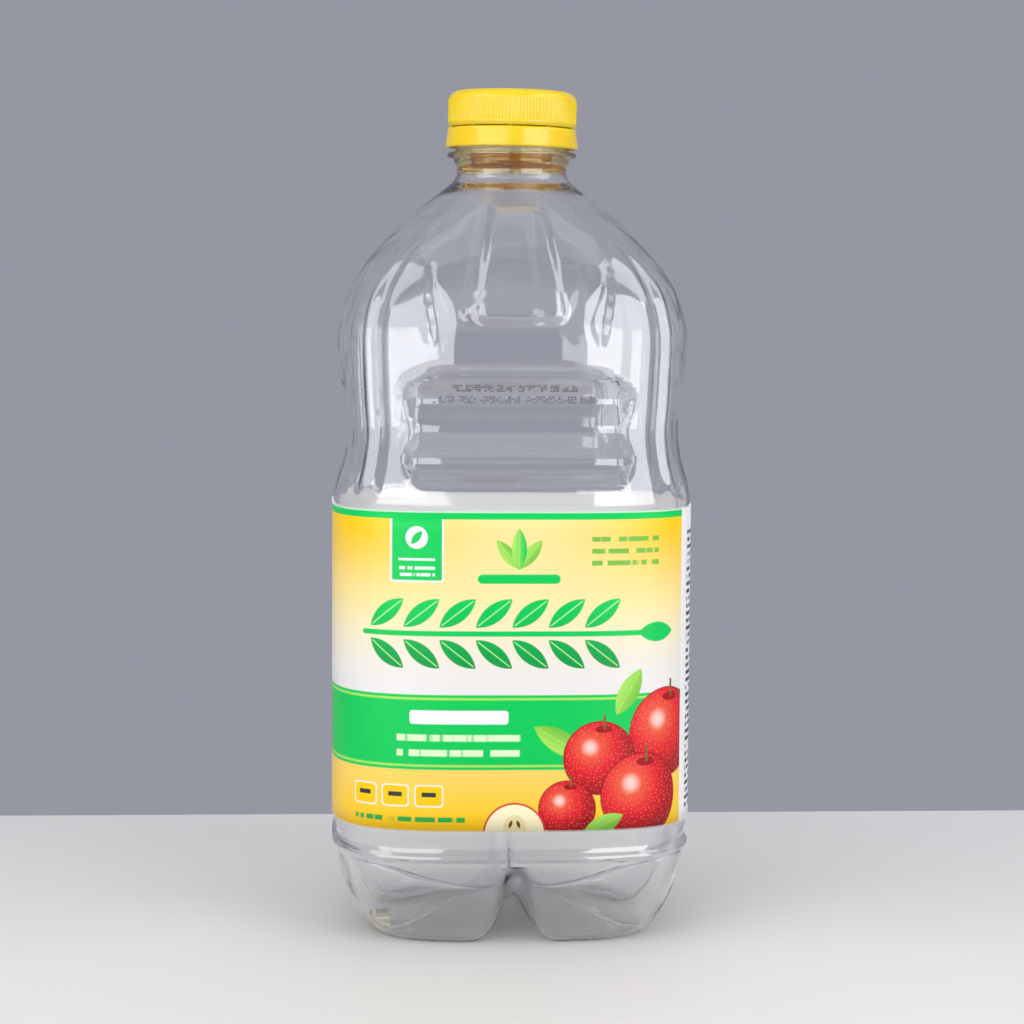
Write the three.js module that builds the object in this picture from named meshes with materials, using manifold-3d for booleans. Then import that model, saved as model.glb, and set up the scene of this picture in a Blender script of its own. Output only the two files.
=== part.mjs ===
// An empty two-litre-class juice bottle of clear plastic, with a yellow screw cap, the loose
// ring that the cap broke away from, and a printed label wrapped round its middle.
// Millimetres, +Z up. The origin is on the surface that the bottle stands on, under its axis.
// The front faces -Y. The bottle is wider along X than it is deep along Y.
import * as THREE from 'three';
import { mergeVertices } from 'three/addons/utils/BufferGeometryUtils.js';
import Module from 'manifold-3d';

// Driving dimensions
const halfWidth = 55.65;          // of the label panel, along X
const halfDepth = 49.45;          // of the label panel, along Y
const baseTop = 25.3;             // the feet end in a crease here
const labelBottom = 36.6;
const labelTop = 134.0;
const neckRadius = 17.3;
const neckFoot = 235.8;           // the shoulder ends and the neck starts
const lipHeight = 260.2;
const boreRadius = 15.9;
const wall = 0.55;                // of the blown body
const baseWall = 0.9;
const feet = 4;                   // one under each corner
const capRadius = 20.2;
const capTop = 262.4;
const skirtFoot = 251.2;          // the cap's skirt ends here
const ringTop = 250.8;            // the loose ring starts here, just under the skirt
const ringFoot = 244.6;
const closureTilt = 0.8;          // degrees
const knurls = 90;
const knurlDepth = 0.35;
const labelGap = 0.3;
const labelThick = 0.25;
const residueLevel = 3.8;         // of the drink left in one foot
const residueReach = [-60, -38, -22.5, -7.5];  // least and most X, then Y
const residueGap = 0.3;

// Heights with the half-width of the section along X at each, up the outside of the body
const widths = [
  [baseTop, 54.9], [26.5, 55.5], [27.3, 56.0], [28.0, 56.15], [28.6, 56.0], [29.4, 55.45], [30.4, 54.95],
  [31.4, 54.8], [32.6, 55.0], [34.2, 55.45], [labelBottom - 0.1, halfWidth], [labelTop + 0.1, halfWidth],
  [labelTop + 1.5, 55.9], [138.5, 55.5], [141.5, 54.8], [149.0, 52.5], [157.0, 51.6],
  [166.0, 52.2], [175.0, 52.7], [185.0, 53.1], [192.0, 52.6], [199.7, 50.9], [207.3, 46.9],
  [214.8, 40.7], [222.4, 32.8], [229.9, 23.8], [233.6, 19.2], [neckFoot, neckRadius],
];

// How square the section is: 2 is an ellipse, and more is nearer a rectangle
const squareness = [[0, 3.5], [labelTop, 3.5], [150, 4.1], [185, 4.1], [210, 2.9], [232, 2.0], [300, 2.0]];

// How much less deep than wide the section is
const depthShare = [[0, halfDepth / halfWidth], [190, halfDepth / halfWidth], [232, 1], [300, 1]];

// The foot's and the valley's own outlines from the middle of the base out to the crease, as
// [distance from the axis, height] at the same steps
const footOutline = [
  [0, 7.4], [11, 7.0], [21, 4.9], [31, 1.9], [38.0, 0], [42.0, 0], [46.6, 3.4], [50.1, 9.6],
  [53.0, 17.0], [54.9, baseTop],
];
const valleyOutline = [
  [0, 7.4], [11, 8.0], [21, 9.9], [31, 13.0], [38.0, 15.7], [42.0, 17.6], [46.6, 20.0], [50.4, 22.2],
  [53.2, 24.1], [54.9, baseTop],
];
// How much of the base is foot, by degrees from a valley's line
const footShare = [
  [0, 0], [2.5, 0.06], [4.5, 0.24], [6.5, 0.44], [9, 0.64], [12, 0.82], [15.5, 0.94], [19, 0.99], [23, 1],
];
const crease = { line: 60, half: 3, depth: 0.7 };  // a shallow groove out along each foot

// Relief on the front, back and sides of the upper body
const flute = { lines: [47.2, 55], tops: [221, 211], half: 3.9, depth: 1.6, foot: 136.5 };
const grip = {
  sideSlope: 2.2,
  half: [[139, 29], [142, 31.5], [149, 32.5], [157, 31.0], [167, 31.6], [171, 31], [174, 26.5], [176.6, 16]],
  depth: [[139.0, -0.6], [141.5, 0.6], [149.0, 5.4], [157.8, 2.4], [167.0, 6.6], [174.6, 1.2], [176.6, -0.8]],
};
const badge = { foot: 189, top: 231, footHalf: 15.8, topHalf: 8.4, corner: 6, slope: 3.6, height: 2.0 };
const leaf = { foot: 180.5, top: 212, edge: 27.8, lean: 0.235, wall: 0.9, slope: 4.6, depth: 1.4 };
const leafWide = [[0, 0], [0.14, 4.6], [0.33, 7.6], [0.6, 5.6], [0.85, 2.5], [1, 0]];
const chin = { foot: 171.0, top: 204, frontHalf: 25, sideHalf: 19, height: 1.6 };

// The outside of the neck above the shoulder, as [radius, height]
const neckOutline = [
  [neckRadius, 239.1], [17.8, 239.5], [18.5, 241.3], [20.1, 241.9], [20.4, 242.5], [20.1, 243.2],
  [18.3, 243.6], [neckRadius, 244.2], [neckRadius, lipHeight - 0.5], [neckRadius - 0.4, lipHeight],
];

const { Manifold, Mesh } = await Module().then((wasm) => {
  wasm.setup();
  return wasm;
});
const degrees = Math.PI / 180;
const clamp01 = (v) => Math.min(1, Math.max(0, v));

function smoothStep(low, high, v) {
  const t = clamp01((v - low) / (high - low));
  return t * t * (3 - 2 * t);
}

// A smooth curve through [place, value] pairs that doesn't swing past them
function along(pairs, v) {
  const last = pairs.length - 1;
  if (v <= pairs[0][0]) return pairs[0][1];
  if (v >= pairs[last][0]) return pairs[last][1];
  const k = pairs.findIndex((p, i) => i < last && v < pairs[i + 1][0]);
  const slope = (i) => (pairs[i + 1][1] - pairs[i][1]) / (pairs[i + 1][0] - pairs[i][0]);
  const tangent = (i) => {
    if (i === 0 || i === last) return 0;
    const [a, b] = [slope(i - 1), slope(i)];
    return a * b <= 0 ? 0 : (2 * a * b) / (a + b);
  };
  const h = pairs[k + 1][0] - pairs[k][0];
  const t = (v - pairs[k][0]) / h;
  const [p0, p1] = [pairs[k][1], pairs[k + 1][1]];
  const [m0, m1] = [tangent(k) * h, tangent(k + 1) * h];
  const [t2, t3] = [t * t, t * t * t];
  return (2 * t3 - 3 * t2 + 1) * p0 + (t3 - 2 * t2 + t) * m0 + (3 * t2 - 2 * t3) * p1 + (t3 - t2) * m1;
}

// The section's distance from the axis at an angle, for given half-widths and squareness
function sectionRadius(angle, a, b, n) {
  return (Math.abs(Math.cos(angle) / a) ** n + Math.abs(Math.sin(angle) / b) ** n) ** (-1 / n);
}

// The angle from the nearer of front and back, in degrees: 0 there and 90 at the sides
function fromFront(angle) {
  return Math.acos(Math.min(1, Math.abs(Math.sin(angle)))) / degrees;
}

// The body without relief
function plainPoint(angle, height) {
  const a = along(widths, height);
  const r = sectionRadius(angle, a, a * along(depthShare, height), along(squareness, height));
  return new THREE.Vector3(r * Math.cos(angle), r * Math.sin(angle), height);
}

// The outward direction of a surface given by a function of angle and a second parameter
function outward(surface, angle, v, step) {
  const across = surface(angle + 1e-3, v).sub(surface(angle - 1e-3, v));
  const up = surface(angle, v + step).sub(surface(angle, v - step));
  return across.cross(up).normalize();
}

// Upright hollows side by side round each corner, which narrow to a point at the top
function fluteRelief(front, height) {
  return flute.lines.reduce((sum, line, k) => {
    const top = 1 - smoothStep(flute.tops[k] - 32, flute.tops[k], height);
    const half = Math.max(flute.half * Math.sqrt(top), 1e-3);
    const t = Math.abs(front - (line - flute.half + half)) / half;
    const depth = flute.depth * top * smoothStep(flute.foot, flute.foot + 9, height);
    return sum - depth * Math.max(0, 1 - t * t) ** 1.5;
  }, 0);
}

function gripRelief(across, height) {
  const side = Math.max(0, Math.abs(across) - along(grip.half, height));
  return -Math.max(0, along(grip.depth, height) - grip.sideSlope * side);
}

function badgeRelief(across, height) {
  const share = (height - badge.foot) / (badge.top - badge.foot);
  const half = badge.footHalf + (badge.topHalf - badge.footHalf) * share;
  const over = Math.abs(across) - (half - badge.corner);
  const under = badge.foot + badge.corner - height;
  const near = Math.hypot(Math.max(over, 0), Math.max(under, 0)) + Math.min(Math.max(over, under), 0);
  const distance = near - badge.corner;
  const fade = 1 - smoothStep(badge.top - 12, badge.top, height);
  return badge.height * smoothStep(0, badge.slope, -distance) * fade;
}

// A sunk leaf on each side of the badge, with a steep outer wall and a broad slope on the inner side
function leafRelief(front, height) {
  const share = (height - leaf.foot) / (leaf.top - leaf.foot);
  if (share <= 0 || share >= 1) return 0;
  const inward = leaf.edge + leaf.lean * (height - leaf.foot) - front;
  const rest = along(leafWide, share) - inward;
  return -leaf.depth * Math.min(clamp01(inward / leaf.wall), smoothStep(0, leaf.slope, rest));
}

function chinRelief(across, half, foot, height) {
  const side = 1 - smoothStep(half - 6, half + 6, Math.abs(across));
  const fade = 1 - smoothStep(chin.top - 20, chin.top, height);
  return chin.height * side * smoothStep(foot - 2, foot + 2, height) * fade;
}

function relief(angle, height) {
  const p = plainPoint(angle, height);
  const front = fromFront(angle);
  const faces = front < 45
    ? gripRelief(p.x, height) + chinRelief(p.x, chin.frontHalf, chin.foot + 4.5, height)
    : chinRelief(p.y, chin.sideHalf, chin.foot, height);
  return fluteRelief(front, height) + faces + badgeRelief(p.x, height) + leafRelief(front, height);
}

function bodyPoint(angle, height) {
  const out = outward(plainPoint, angle, height, 0.05);
  return plainPoint(angle, height).addScaledVector(out, relief(angle, height));
}

// The base, from 0 at the middle to 1 at the crease
function basePoint(angle, share) {
  const rim = footOutline.at(-1)[0];
  const edge = sectionRadius(angle, rim, rim * depthShare[0][1], squareness[0][1]);
  const period = 360 / feet;
  const front = (((angle / degrees + 90) % period) + period) % period;
  const foot = along(footShare, Math.min(front, period - front));
  const steps = footOutline.length - 1;
  const at = (outline, axis) => along(outline.map((p, i) => [i / steps, p[axis]]), share);
  const mix = (axis) => at(valleyOutline, axis) * (1 - foot) + at(footOutline, axis) * foot;
  const r = (mix(0) / rim) * edge;
  const groove = clamp01(1 - Math.abs(fromFront(angle) - crease.line) / crease.half);
  const reach = smoothStep(0.25, 0.4, share) * (1 - smoothStep(0.6, 0.8, share));
  const z = mix(1) + crease.depth * groove * reach;
  return new THREE.Vector3(r * Math.cos(angle), r * Math.sin(angle), z);
}

// Columns from the middle of the front round to the side, in degrees, and then the same mirrored
function mirroredAngles(quarter) {
  const right = quarter.map((v) => v - 90);
  const back = [90, ...quarter.slice(1).reverse()].map((v) => 90 - v);
  const half = [...right, ...back];
  return [...half, ...half.map((v) => v + 180)].map((v) => v * degrees);
}

const evenAngles = (count) => Array.from({ length: count }, (_, i) => (-90 + (360 * i) / count) * degrees);

// A ring of points with the angle of each, for skin to join to its neighbours
const ring = (angles, point) => ({ angles, points: angles.map(point) });
const round = (count, radius, height) => ring(evenAngles(count), (t) =>
  new THREE.Vector3(radius * Math.cos(t), radius * Math.sin(t), height));

// Joins each ring to the next by triangles. The ends close on a middle point, or on each other
function skin(rings, closed) {
  const vertices = [];
  const starts = rings.map((r) => {
    const start = vertices.length / 3;
    r.points.forEach((p) => vertices.push(p.x, p.y, p.z));
    return start;
  });
  const faces = [];
  const count = rings.length;
  for (let k = 0; k < (closed ? count : count - 1); k += 1) {
    const [low, high] = [rings[k], rings[(k + 1) % count]];
    const [a0, b0] = [starts[k], starts[(k + 1) % count]];
    const [n, m] = [low.points.length, high.points.length];
    const angle = (r, i) => r.angles[i % r.angles.length] + (i >= r.angles.length ? 2 * Math.PI : 0);
    let [i, j] = [0, 0];
    while (i < n || j < m) {
      if (j >= m || (i < n && angle(low, i + 1) <= angle(high, j + 1) + 1e-9)) {
        faces.push(a0 + (i % n), a0 + ((i + 1) % n), b0 + (j % m));
        i += 1;
      } else {
        faces.push(a0 + (i % n), b0 + ((j + 1) % m), b0 + (j % m));
        j += 1;
      }
    }
  }
  if (!closed) {
    const cap = (r, start, first) => {
      const middle = r.points.reduce((s, p) => s.add(p), new THREE.Vector3()).divideScalar(r.points.length);
      const at = vertices.length / 3;
      vertices.push(middle.x, middle.y, middle.z);
      r.points.forEach((_, i) => {
        const [p, q] = [start + i, start + ((i + 1) % r.points.length)];
        faces.push(...(first ? [at, q, p] : [at, p, q]));
      });
    };
    cap(rings[0], starts[0], true);
    cap(rings[count - 1], starts[count - 1], false);
  }
  const geometry = new THREE.BufferGeometry();
  geometry.setAttribute('position', new THREE.Float32BufferAttribute(vertices, 3));
  geometry.setIndex(faces);
  geometry.computeVertexNormals();
  return geometry;
}

const fluteColumns = [43.3, 45.25, 47.2, 49.15, 51.1, 53.05, 55, 56.95, 58.9];
const fineColumns = mirroredAngles([0, 8, 12, 16, 20, 24, 27.5, 30.5, 34, 38, ...fluteColumns, 68, 79]);
const middleColumns = mirroredAngles([0, 10, 20, 28, 36, 43.3, 47.2, 51.1, 55, 58.9, 64, 71, 80]);
const neckColumns = 36;

// Heights of the body's rings, each with the columns that its shape needs
const bodyRows = [
  ...[26.6, 28.0, 29.8, 32.6, labelBottom - 0.1, labelTop + 0.1].map((z) => [z, middleColumns]),
  ...[labelTop + 0.9, 138.5, 142, 145.5, 149, 153.5, 157.8, 162.5, 167, 171, 174.6, 177.5, 182, 188.2, 192, 200]
    .map((z) => [z, fineColumns]),
  ...[208, 216, 224].map((z) => [z, middleColumns]),
];
const baseShares = [1, 2, 3, 4, 5, 6, 7, 8, 9].map((k) => k / 9);

const bodyThickness = (height) => wall + (neckRadius - boreRadius - wall) * smoothStep(230, neckFoot, height);
const baseThickness = (share) => baseWall + (wall - baseWall) * smoothStep(0.7, 1, share);

function baseRing(share, inset) {
  const columns = share < 0.2 ? evenAngles(24) : baseColumns;
  return ring(columns, (t) =>
    basePoint(t, share).addScaledVector(outward(basePoint, t, Math.min(share, 0.999), 1e-3), -inset));
}

function bodyRing(height, columns, inset) {
  return ring(columns, (t) =>
    bodyPoint(t, height).addScaledVector(outward(bodyPoint, t, height, 0.05), -inset));
}

// Columns of the base: the valleys' sides and the feet's grooves each get some
const baseColumns = mirroredAngles([
  0, 2.5, 5, 8, 11.5, 15.5, 21, 32, 45, crease.line - crease.half, crease.line, crease.line + crease.half,
  69, 74.5, 78.5, 82, 85, 87.5,
]);

function bottleGeometry() {
  const outside = [
    ...baseShares.map((s) => baseRing(s, 0)),
    ...bodyRows.map(([z, columns]) => bodyRing(z, columns, 0)),
    round(neckColumns, 22.2, 231.2),
    round(neckColumns, 18.6, 234.1),
    round(neckColumns, neckRadius, neckFoot + 0.6),
    ...neckOutline.map(([r, z]) => round(neckColumns, r, z)),
  ];
  const inside = [
    round(neckColumns, boreRadius, lipHeight),
    round(neckColumns, boreRadius, neckFoot),
    round(neckColumns, 17.8, 233.2),
    round(neckColumns, 21.8, 230.7),
    ...bodyRows.map(([z, columns]) => bodyRing(z, columns, bodyThickness(z))).reverse(),
    ...baseShares.map((s) => baseRing(s, baseThickness(s))).reverse(),
  ];
  return skin([...outside, ...inside], false);
}

// The cap, a cup with fine upright ribs round its skirt
function capGeometry() {
  const columns = evenAngles(knurls * 2);
  const ribbed = (height) => ring(columns, (t, i) => {
    const r = capRadius - (i % 2 ? knurlDepth : 0);
    return new THREE.Vector3(r * Math.cos(t), r * Math.sin(t), height);
  });
  const hollow = [[capRadius - 2.6, capTop - 1.4], [capRadius - 1.6, capTop - 2.4], [capRadius - 1.5, skirtFoot]];
  const foot = [[capRadius - knurlDepth, skirtFoot], [capRadius - knurlDepth, skirtFoot + 1.1]];
  const crown = [[capRadius - 0.7, capTop - 2.0], [capRadius - 1.7, capTop - 0.7], [capRadius - 3.3, capTop]];
  const rows = (list) => list.map(([r, z]) => round(48, r, z));
  const ribs = [ribbed(skirtFoot + 1.4), ribbed(capTop - 3.0)];
  return skin([...rows(hollow), ...rows(foot), ...ribs, ...rows(crown)], false);
}

// The loose ring, which flares at its foot
function ringGeometry() {
  const outline = [
    [18.9, ringTop], [18.9, ringFoot + 1.2], [19.4, ringFoot], [20.6, ringFoot], [20.8, ringFoot + 0.5],
    [20.3, ringTop - 1.2], [20.2, ringTop],
  ];
  return skin(outline.map(([r, z]) => round(56, r, z)), true);
}

// The label, a thin sleeve just off the body
function labelGeometry() {
  const columns = evenAngles(88);
  const sleeve = (height, off) => ring(columns, (t) => {
    const panel = (labelBottom + labelTop) / 2;
    return plainPoint(t, panel).addScaledVector(outward(plainPoint, t, panel, 0.05), off).setZ(height);
  });
  const far = labelGap + labelThick;
  return skin([
    sleeve(labelBottom, far), sleeve(labelTop, far), sleeve(labelTop, labelGap), sleeve(labelBottom, labelGap),
  ], true);
}

// A closed mesh as a solid that can be cut
function solidOf(geometry) {
  const plain = geometry.clone();
  plain.deleteAttribute('normal');
  plain.deleteAttribute('uv');
  const merged = mergeVertices(plain, 1e-5);
  return new Manifold(new Mesh({
    numProp: 3,
    vertProperties: new Float32Array(merged.getAttribute('position').array),
    triVerts: new Uint32Array(merged.index.array),
  }));
}

// What is left of the drink: a pool in the left foot, clear of its walls
function residueGeometry() {
  const inside = skin(baseShares.map((s) => baseRing(s, baseThickness(s) + residueGap)), false);
  const [x0, x1, y0, y1] = residueReach;
  const block = new THREE.BoxGeometry(x1 - x0, y1 - y0, residueLevel);
  block.translate((x0 + x1) / 2, (y0 + y1) / 2, residueLevel / 2);
  const pool = solidOf(inside).intersect(solidOf(block)).getMesh();
  const geometry = new THREE.BufferGeometry();
  geometry.setAttribute('position', new THREE.Float32BufferAttribute(pool.vertProperties, 3));
  geometry.setIndex([...pool.triVerts]);
  geometry.computeVertexNormals();
  return geometry;
}

function piece(name, geometry, material) {
  const mesh = new THREE.Mesh(geometry, material);
  mesh.name = name;
  return mesh;
}

const yellow = new THREE.MeshStandardMaterial({ color: 0xf2c21a, roughness: 0.4, metalness: 0 });
const clear = new THREE.MeshStandardMaterial({ color: 0xe4ecf0, roughness: 0.1, transparent: true, opacity: 0.35 });
const printed = new THREE.MeshStandardMaterial({ color: 0xf1e3a4, roughness: 0.35, metalness: 0 });
const juice = new THREE.MeshStandardMaterial({ color: 0xc9c96a, roughness: 0.1, transparent: true, opacity: 0.6 });

const group = new THREE.Group();
group.add(piece('bottle', bottleGeometry(), clear));
group.add(piece('label', labelGeometry(), printed));
group.add(piece('juice_residue', residueGeometry(), juice));

// The cap and the ring sit a little lower on the right
const closure = new THREE.Group();
closure.position.set(0, 0, ringFoot);
closure.rotation.y = closureTilt * degrees;
const cap = piece('cap', capGeometry(), yellow);
const looseRing = piece('tamper_band', ringGeometry(), yellow);
cap.position.z = -ringFoot;
looseRing.position.z = -ringFoot;
closure.add(cap, looseRing);
group.add(closure);

export default group;
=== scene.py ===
import math

import bmesh
import bpy
import numpy as np
from mathutils import Matrix, Vector


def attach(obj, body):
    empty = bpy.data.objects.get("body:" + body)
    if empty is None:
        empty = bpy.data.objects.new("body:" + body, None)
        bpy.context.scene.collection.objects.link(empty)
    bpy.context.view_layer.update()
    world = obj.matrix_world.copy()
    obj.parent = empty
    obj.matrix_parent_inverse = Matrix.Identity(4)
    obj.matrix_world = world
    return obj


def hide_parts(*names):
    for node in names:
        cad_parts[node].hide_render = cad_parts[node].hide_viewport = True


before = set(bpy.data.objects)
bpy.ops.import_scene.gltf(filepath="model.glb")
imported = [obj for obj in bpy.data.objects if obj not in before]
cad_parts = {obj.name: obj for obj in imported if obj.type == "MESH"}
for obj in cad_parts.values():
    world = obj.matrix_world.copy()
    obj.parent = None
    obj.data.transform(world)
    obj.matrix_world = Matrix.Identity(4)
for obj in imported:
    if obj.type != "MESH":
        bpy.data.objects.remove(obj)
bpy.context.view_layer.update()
mm = 0.001
degree = math.pi / 180
print("frame loaded:", sorted(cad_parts))

# the blown body, in mm: the same sizes as the solid it stands for
body = {
    "labelBottom": 36.6, "labelTop": 134.0, "neckRadius": 17.3, "neckFoot": 235.8, "lip": 260.2,
    "bore": 15.9, "wall": 0.55, "baseWall": 0.9,
    "widths": [
        (25.3, 54.9), (26.5, 55.5), (27.3, 56.0), (28.0, 56.15), (28.6, 56.0), (29.4, 55.45), (30.4, 54.95),
        (31.4, 54.8), (32.6, 55.0), (34.2, 55.45), (36.5, 55.65), (134.1, 55.65), (135.5, 55.9),
        (138.5, 55.5), (141.5, 54.8), (149.0, 52.5), (157.0, 51.6), (166.0, 52.2), (175.0, 52.7),
        (185.0, 53.1), (192.0, 52.6), (199.7, 50.9), (207.3, 46.9), (214.8, 40.7), (222.4, 32.8),
        (229.9, 23.8), (233.6, 19.2), (235.8, 17.3)],
    "squareness": [(0, 3.5), (134.0, 3.5), (150, 4.1), (185, 4.1), (210, 2.9), (232, 2.0), (300, 2.0)],
    "depthShare": [(0, 49.45 / 55.65), (190, 49.45 / 55.65), (232, 1), (300, 1)],
    "foot": [(0, 7.4), (11, 7.0), (21, 4.9), (31, 1.9), (38.0, 0), (42.0, 0), (46.6, 3.4), (50.1, 9.6),
             (53.0, 17.0), (54.9, 25.3)],
    "valley": [(0, 7.4), (11, 8.0), (21, 9.9), (31, 13.0), (38.0, 15.7), (42.0, 17.6), (46.6, 20.0),
               (50.4, 22.2), (53.2, 24.1), (54.9, 25.3)],
    "footShare": [(0, 0), (2.5, 0.06), (4.5, 0.24), (6.5, 0.44), (9, 0.64), (12, 0.82), (15.5, 0.94),
                  (19, 0.99), (23, 1)],
    "creaseLine": 60, "creaseHalf": 3, "creaseDepth": 0.7, "creaseStart": (0.25, 0.4),
    "creaseEnd": (0.6, 0.8),
    "flutes": [(47.2, 221), (55.0, 211)], "fluteHalf": 3.9, "fluteDepth": 1.6, "fluteFoot": 136.5,
    "fluteRise": 9, "fluteFade": 32, "gripSlope": 2.2,
    "gripHalf": [(139, 29), (142, 31.5), (149, 32.5), (157, 31.0), (167, 31.6), (171, 31), (174, 26.5),
                 (176.6, 16)],
    "gripDepth": [(139.0, -0.6), (141.5, 0.6), (149.0, 5.4), (157.8, 2.4), (167.0, 6.6), (174.6, 1.2),
                  (176.6, -0.8)],
    "badgeFoot": 189, "badgeTop": 231, "badgeFootHalf": 15.8, "badgeTopHalf": 8.4, "badgeCorner": 6,
    "badgeSlope": 3.6, "badgeHeight": 2.0, "badgeFade": 12,
    "leafFoot": 180.5, "leafTop": 212, "leafEdge": 27.8, "leafLean": 0.235, "leafWall": 0.9,
    "leafSlope": 4.6, "leafDepth": 1.4,
    "leafWide": [(0, 0), (0.14, 4.6), (0.33, 7.6), (0.6, 5.6), (0.85, 2.5), (1, 0)],
    "chinFoot": 171.0, "chinTop": 204, "chinFront": 25, "chinSide": 19, "chinHeight": 1.6,
    "chinUp": 4.5, "chinEnd": 6, "chinRise": 2, "chinFade": 20,
    "neck": [(17.3, 239.1), (17.8, 239.5), (18.5, 241.3), (20.1, 241.9), (20.4, 242.5), (20.1, 243.2),
             (18.3, 243.6), (17.3, 244.2), (17.3, 259.7), (16.9, 260.2)],
    "neckStart": 0.4, "boreFoot": 0.6, "thickFrom": 230, "baseThickTo": 0.7,
    # rows of the mesh: on the base, on the bead over it, on the label panel and at even steps above
    "baseRows": 30,
    "beadRows": [25.9, 26.5, 27.0, 27.5, 28.0, 28.5, 29.0, 29.6, 30.3, 31.0, 31.8, 32.6, 33.5, 34.4, 35.4,
                 36.5],
    "panelRows": [40, 55, 70, 85, 100, 115, 130, 134.1, 134.7, 135.5],
    "upperRows": (136.4, 235.3, 1.0),
    # the columns of a quarter from its front: from, to and how many
    "quarter": [(0, 8, 7), (8, 43.3, 32), (43.3, 58.9, 16), (58.9, 90, 20)],
}


def smoothStep(low, high, v):
    t = np.clip((v - low) / (high - low), 0, 1)
    return t * t * (3 - 2 * t)


# a smooth curve through pairs of place and value that doesn't swing past them
def along(pairs, v):
    x, y = np.array(pairs, float).T
    slope = np.diff(y) / np.diff(x)
    tangent = np.zeros(len(x))
    both = slope[:-1] * slope[1:]
    total = np.where(both > 0, slope[:-1] + slope[1:], 1)
    tangent[1:-1] = np.where(both > 0, 2 * both / total, 0)
    v = np.asarray(v, float)
    k = np.clip(np.searchsorted(x, v, "right") - 1, 0, len(x) - 2)
    h = x[k + 1] - x[k]
    t = np.clip((v - x[k]) / h, 0, 1)
    return ((2 * t**3 - 3 * t**2 + 1) * y[k] + (t**3 - 2 * t**2 + t) * tangent[k] * h
            + (3 * t**2 - 2 * t**3) * y[k + 1] + (t**3 - t**2) * tangent[k + 1] * h)


def sectionRadius(angle, a, b, n):
    return (np.abs(np.cos(angle) / a) ** n + np.abs(np.sin(angle) / b) ** n) ** (-1 / n)


# 0 degrees at the front and the back, 90 at the sides
def fromFront(angle):
    return np.arccos(np.clip(np.abs(np.sin(angle)), 0, 1)) / degree


def plainPoint(angle, height):
    a = along(body["widths"], height)
    r = sectionRadius(angle, a, a * along(body["depthShare"], height), along(body["squareness"], height))
    return np.stack([r * np.cos(angle), r * np.sin(angle), height + 0 * r], -1)


# how far apart the places are that a surface's direction is measured between
turnStep, upStep, shareStep = 1e-3, 0.05, 1e-3


def outward(surface, angle, v, step):
    across = surface(angle + turnStep, v) - surface(angle - turnStep, v)
    up = surface(angle, v + step) - surface(angle, v - step)
    n = np.cross(across, up)
    return n / np.maximum(np.linalg.norm(n, axis=-1, keepdims=True), 1e-12)


# upright hollows side by side round each corner, which narrow to a point at the top
def fluteRelief(front, height):
    b = body
    total = 0
    for line, tip in b["flutes"]:
        top = 1 - smoothStep(tip - b["fluteFade"], tip, height)
        half = np.maximum(b["fluteHalf"] * np.sqrt(top), 1e-3)
        t = np.abs(front - (line - b["fluteHalf"] + half)) / half
        depth = b["fluteDepth"] * top * smoothStep(b["fluteFoot"], b["fluteFoot"] + b["fluteRise"], height)
        total = total - depth * np.maximum(0, 1 - t * t) ** 1.5
    return total


def gripRelief(across, height):
    side = np.maximum(0, np.abs(across) - along(body["gripHalf"], height))
    return -np.maximum(0, along(body["gripDepth"], height) - body["gripSlope"] * side)


# a raised shield with round lower corners and a sloping rim
def badgeRelief(across, height):
    b = body
    share = (height - b["badgeFoot"]) / (b["badgeTop"] - b["badgeFoot"])
    half = b["badgeFootHalf"] + (b["badgeTopHalf"] - b["badgeFootHalf"]) * share
    over = np.abs(across) - (half - b["badgeCorner"])
    under = b["badgeFoot"] + b["badgeCorner"] - height
    distance = np.hypot(np.maximum(over, 0), np.maximum(under, 0)) + np.minimum(np.maximum(over, under), 0)
    rise = smoothStep(0, b["badgeSlope"], b["badgeCorner"] - distance)
    return b["badgeHeight"] * rise * (1 - smoothStep(b["badgeTop"] - b["badgeFade"], b["badgeTop"], height))


# a sunk leaf on each side of the shield, with a steep outer wall and a broad slope on the inner side
def leafRelief(front, height):
    b = body
    share = np.clip((height - b["leafFoot"]) / (b["leafTop"] - b["leafFoot"]), 0, 1)
    inward = b["leafEdge"] + b["leafLean"] * (height - b["leafFoot"]) - front
    rest = along(b["leafWide"], share) - inward
    wall = np.clip(inward / b["leafWall"], 0, 1)
    return -b["leafDepth"] * np.minimum(wall, smoothStep(0, b["leafSlope"], rest))


# the step over the grip, which stands out at its foot and fades upwards
def chinRelief(across, half, foot, height):
    b = body
    side = 1 - smoothStep(half - b["chinEnd"], half + b["chinEnd"], np.abs(across))
    rise = smoothStep(foot - b["chinRise"], foot + b["chinRise"], height)
    fade = 1 - smoothStep(b["chinTop"] - b["chinFade"], b["chinTop"], height)
    return b["chinHeight"] * side * rise * fade


def bodyPoint(angle, height):
    b = body
    p = plainPoint(angle, height)
    front = fromFront(angle)
    onFront = gripRelief(p[..., 0], height) + chinRelief(
        p[..., 0], b["chinFront"], b["chinFoot"] + b["chinUp"], height)
    onSide = chinRelief(p[..., 1], b["chinSide"], b["chinFoot"], height)
    faces = np.where(front < 45, onFront, onSide)
    relief = fluteRelief(front, height) + faces + badgeRelief(p[..., 0], height) + leafRelief(front, height)
    return p + outward(plainPoint, angle, height, upStep) * relief[..., None]


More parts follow.
